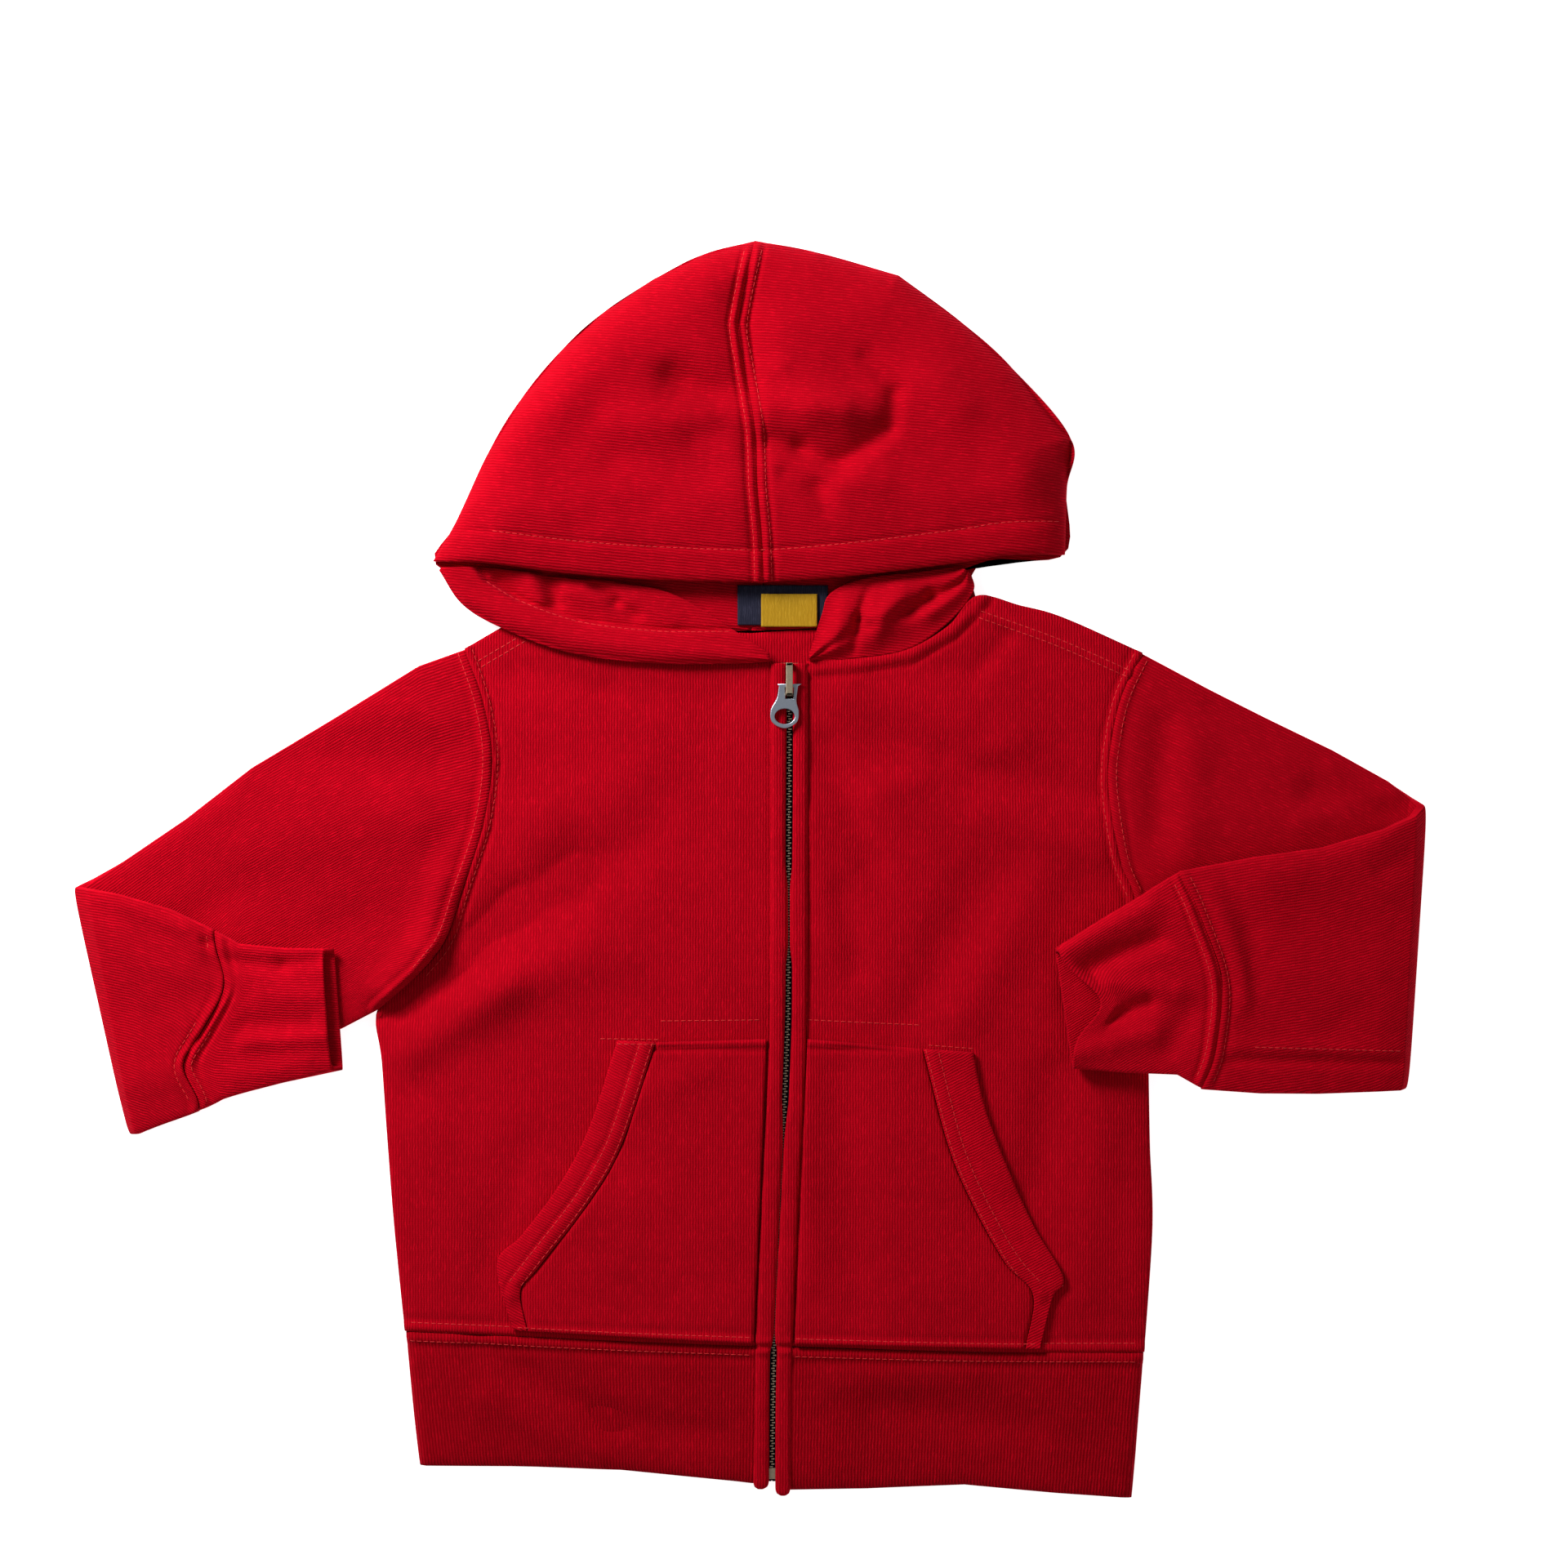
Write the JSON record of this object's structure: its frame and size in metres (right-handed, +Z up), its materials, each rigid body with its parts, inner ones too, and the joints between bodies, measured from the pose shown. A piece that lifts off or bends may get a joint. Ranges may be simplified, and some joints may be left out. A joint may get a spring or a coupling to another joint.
{
  "type": "kids zip-front hoodie, laid flat",
  "caption": "Child's zip-front hooded sweatshirt laid flat with its sleeves folded in, ribbed hem and cuffs, two front pockets, and a zip whose pull tab lifts.",
  "frame": {"origin": "middle of the object's outline, on the surface it lies on", "axes": "+X to the viewer's right across the chest, +Y from hem to hood, +Z up off the surface"},
  "size_m": [0.626, 0.583, 0.0237],
  "materials": {
    "fleece": "brushed cotton fleece, ribbed face",
    "rib": "cotton rib knit",
    "navy_tape": "woven tape",
    "gold_label": "woven label, blank",
    "antique_brass": "antique, polished on the edges",
    "satin_steel": "satin"
  },
  "bodies": {
    "garment": {"back": "fleece", "front_left": "fleece", "front_right": "fleece", "placket_left": "fleece", "placket_right": "fleece", "sleeve_left": "fleece", "sleeve_right": "fleece", "hood_left": "fleece", "hood_right": "fleece", "hood_under_left": "fleece", "hood_under_right": "fleece", "hood_lip_left": "fleece", "hood_roll_right": "fleece", "pocket_left": "fleece", "pocket_right": "fleece", "hem_band": "rib", "cuff_left": "rib", "cuff_right": "rib", "pocket_trim_left": "rib", "pocket_trim_right": "rib", "zip_tape_left": "navy_tape", "zip_tape_right": "navy_tape", "label_tape": "navy_tape", "label_blank": "gold_label", "zip_chain": "antique_brass", "zip_slider": "antique_brass"},
    "pull": {"zip_pull": "satin_steel"}
  },
  "joints": [
    {"name": "pull_tab_hinge", "type": "hinge", "parent": "garment", "child": "pull", "pos_m": [0.0181, 0.0852, 0.01015], "axis": [-1, 0, 0], "range_deg": [0, 120]}
  ]
}
